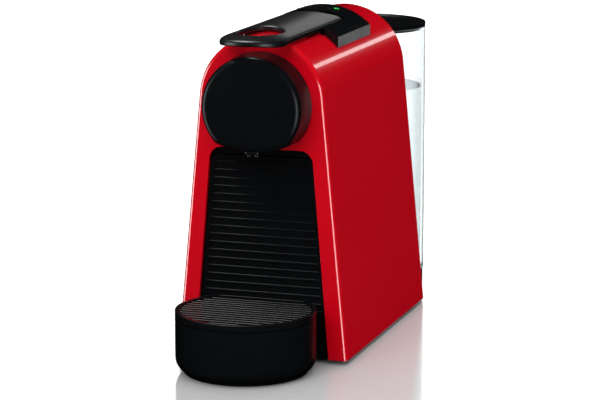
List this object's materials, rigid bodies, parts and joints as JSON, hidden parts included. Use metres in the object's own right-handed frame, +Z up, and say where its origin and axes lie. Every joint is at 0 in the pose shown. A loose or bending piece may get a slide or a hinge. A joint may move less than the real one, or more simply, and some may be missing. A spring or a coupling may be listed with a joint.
{
  "type": "pod coffee machine",
  "caption": "Compact pod coffee machine with an arched body, top lever, round brew head, pull-out round drip tray and capsule container, and a lift-off clear water tank.",
  "frame": {"origin": "centre of the bounding box's underside, at the table", "axes": "+Z up, -Y towards the cup side, +X across, so +Y runs back to the water tank"},
  "size_m": [0.1098, 0.3252, 0.2046],
  "materials": {
    "red_shell": "gloss",
    "black_gloss": "gloss",
    "black_satin": "satin",
    "dark_grey": "matte",
    "works_plastic": "matte",
    "black_rubber": "matte",
    "seal_rubber": "matte",
    "steel": "satin",
    "heater_metal": "cast",
    "board": "matte",
    "capacitor_can": "gloss",
    "clear_tank": "clear",
    "clear_hose": "satin"
  },
  "bodies": {
    "machine": {"body_shell": "red_shell", "base_plate": "black_satin", "rear_cover": "black_satin", "bay_wall": "dark_grey", "cord_gland": "black_rubber", "foot_front_left": "black_rubber", "foot_front_right": "black_rubber", "foot_rear_left": "black_rubber", "foot_rear_right": "black_rubber", "head_frame": "black_satin", "head_cover": "black_satin", "coffee_channel": "dark_grey", "coffee_outlet": "black_gloss", "top_housing": "black_satin", "lever_shaft": "steel", "button_board": "board", "capsule_chute": "black_satin", "brew_frame": "dark_grey", "extraction_plate": "steel", "cage_seal": "seal_rubber", "inlet_block": "works_plastic", "heater": "heater_metal", "thermostat": "steel", "thermal_fuse": "works_plastic", "pump_body": "works_plastic", "pump_coil": "dark_grey", "pump_mount_front": "black_rubber", "pump_mount_rear": "black_rubber", "flow_meter": "works_plastic", "supply_hose": "clear_hose", "meter_hose": "clear_hose", "heater_hose": "clear_hose", "brew_hose": "clear_hose", "control_board": "board", "relay": "dark_grey", "capacitor": "capacitor_can", "tank_connector": "dark_grey", "tank_seal": "black_rubber"},
    "lever": {"lever": "black_gloss"},
    "cage": {"capsule_cage": "dark_grey", "injection_plate": "steel"},
    "espresso_button": {"espresso_button": "black_gloss"},
    "lungo_button": {"lungo_button": "black_gloss"},
    "drip_unit": {"drip_base": "black_satin", "drip_tray": "dark_grey", "front_panel": "black_satin", "capsule_container": "black_satin"},
    "grid": {"drip_grid": "black_satin"},
    "tank": {"water_tank": "clear_tank"},
    "lid": {"tank_lid": "black_satin"},
    "valve": {"tank_valve": "works_plastic"},
    "plunger": {"pump_plunger": "steel"},
    "rotor": {"flow_rotor": "works_plastic"}
  },
  "joints": [
    {"name": "lever_hinge", "type": "hinge", "parent": "machine", "child": "lever", "pos_m": [0, -0.0109, 0.182], "axis": [-1, 0, 0], "range_deg": [0, 80]},
    {"name": "cage_slide", "type": "slide", "parent": "machine", "child": "cage", "axis": [0, 1, 0], "range_m": [0, 0.026]},
    {"name": "espresso_press", "type": "slide", "parent": "machine", "child": "espresso_button", "axis": [0.2232, 0, -0.9748], "range_m": [0, 0.0008], "stiffness_N_per_m": 600},
    {"name": "lungo_press", "type": "slide", "parent": "machine", "child": "lungo_button", "axis": [-0.2232, 0, -0.9748], "range_m": [0, 0.0008], "stiffness_N_per_m": 600},
    {"name": "drip_unit_slide", "type": "slide", "parent": "machine", "child": "drip_unit", "axis": [0, -1, 0], "range_m": [0, 0.115]},
    {"name": "grid_lift", "type": "slide", "parent": "drip_unit", "child": "grid", "axis": [0, 0, 1], "range_m": [0, 0.06]},
    {"name": "tank_lift", "type": "slide", "parent": "machine", "child": "tank", "axis": [0, 0, 1], "range_m": [0, 0.2]},
    {"name": "lid_lift", "type": "slide", "parent": "tank", "child": "lid", "axis": [0, 0, 1], "range_m": [0, 0.05]},
    {"name": "valve_lift", "type": "slide", "parent": "tank", "child": "valve", "axis": [0, 0, -1], "range_m": [0, 0.0025], "stiffness_N_per_m": 80},
    {"name": "plunger_stroke", "type": "slide", "parent": "machine", "child": "plunger", "axis": [0, 1, 0], "range_m": [-0.0015, 0.0015], "stiffness_N_per_m": 2000},
    {"name": "rotor_spin", "type": "hinge", "parent": "machine", "child": "rotor", "pos_m": [-0.033, 0.0481, 0.069], "axis": [0, 0, 1], "continuous": true}
  ],
  "couplings": [
    {"joint": "cage_slide", "follows": "lever_hinge", "m_per_rad": 0.018621}
  ]
}
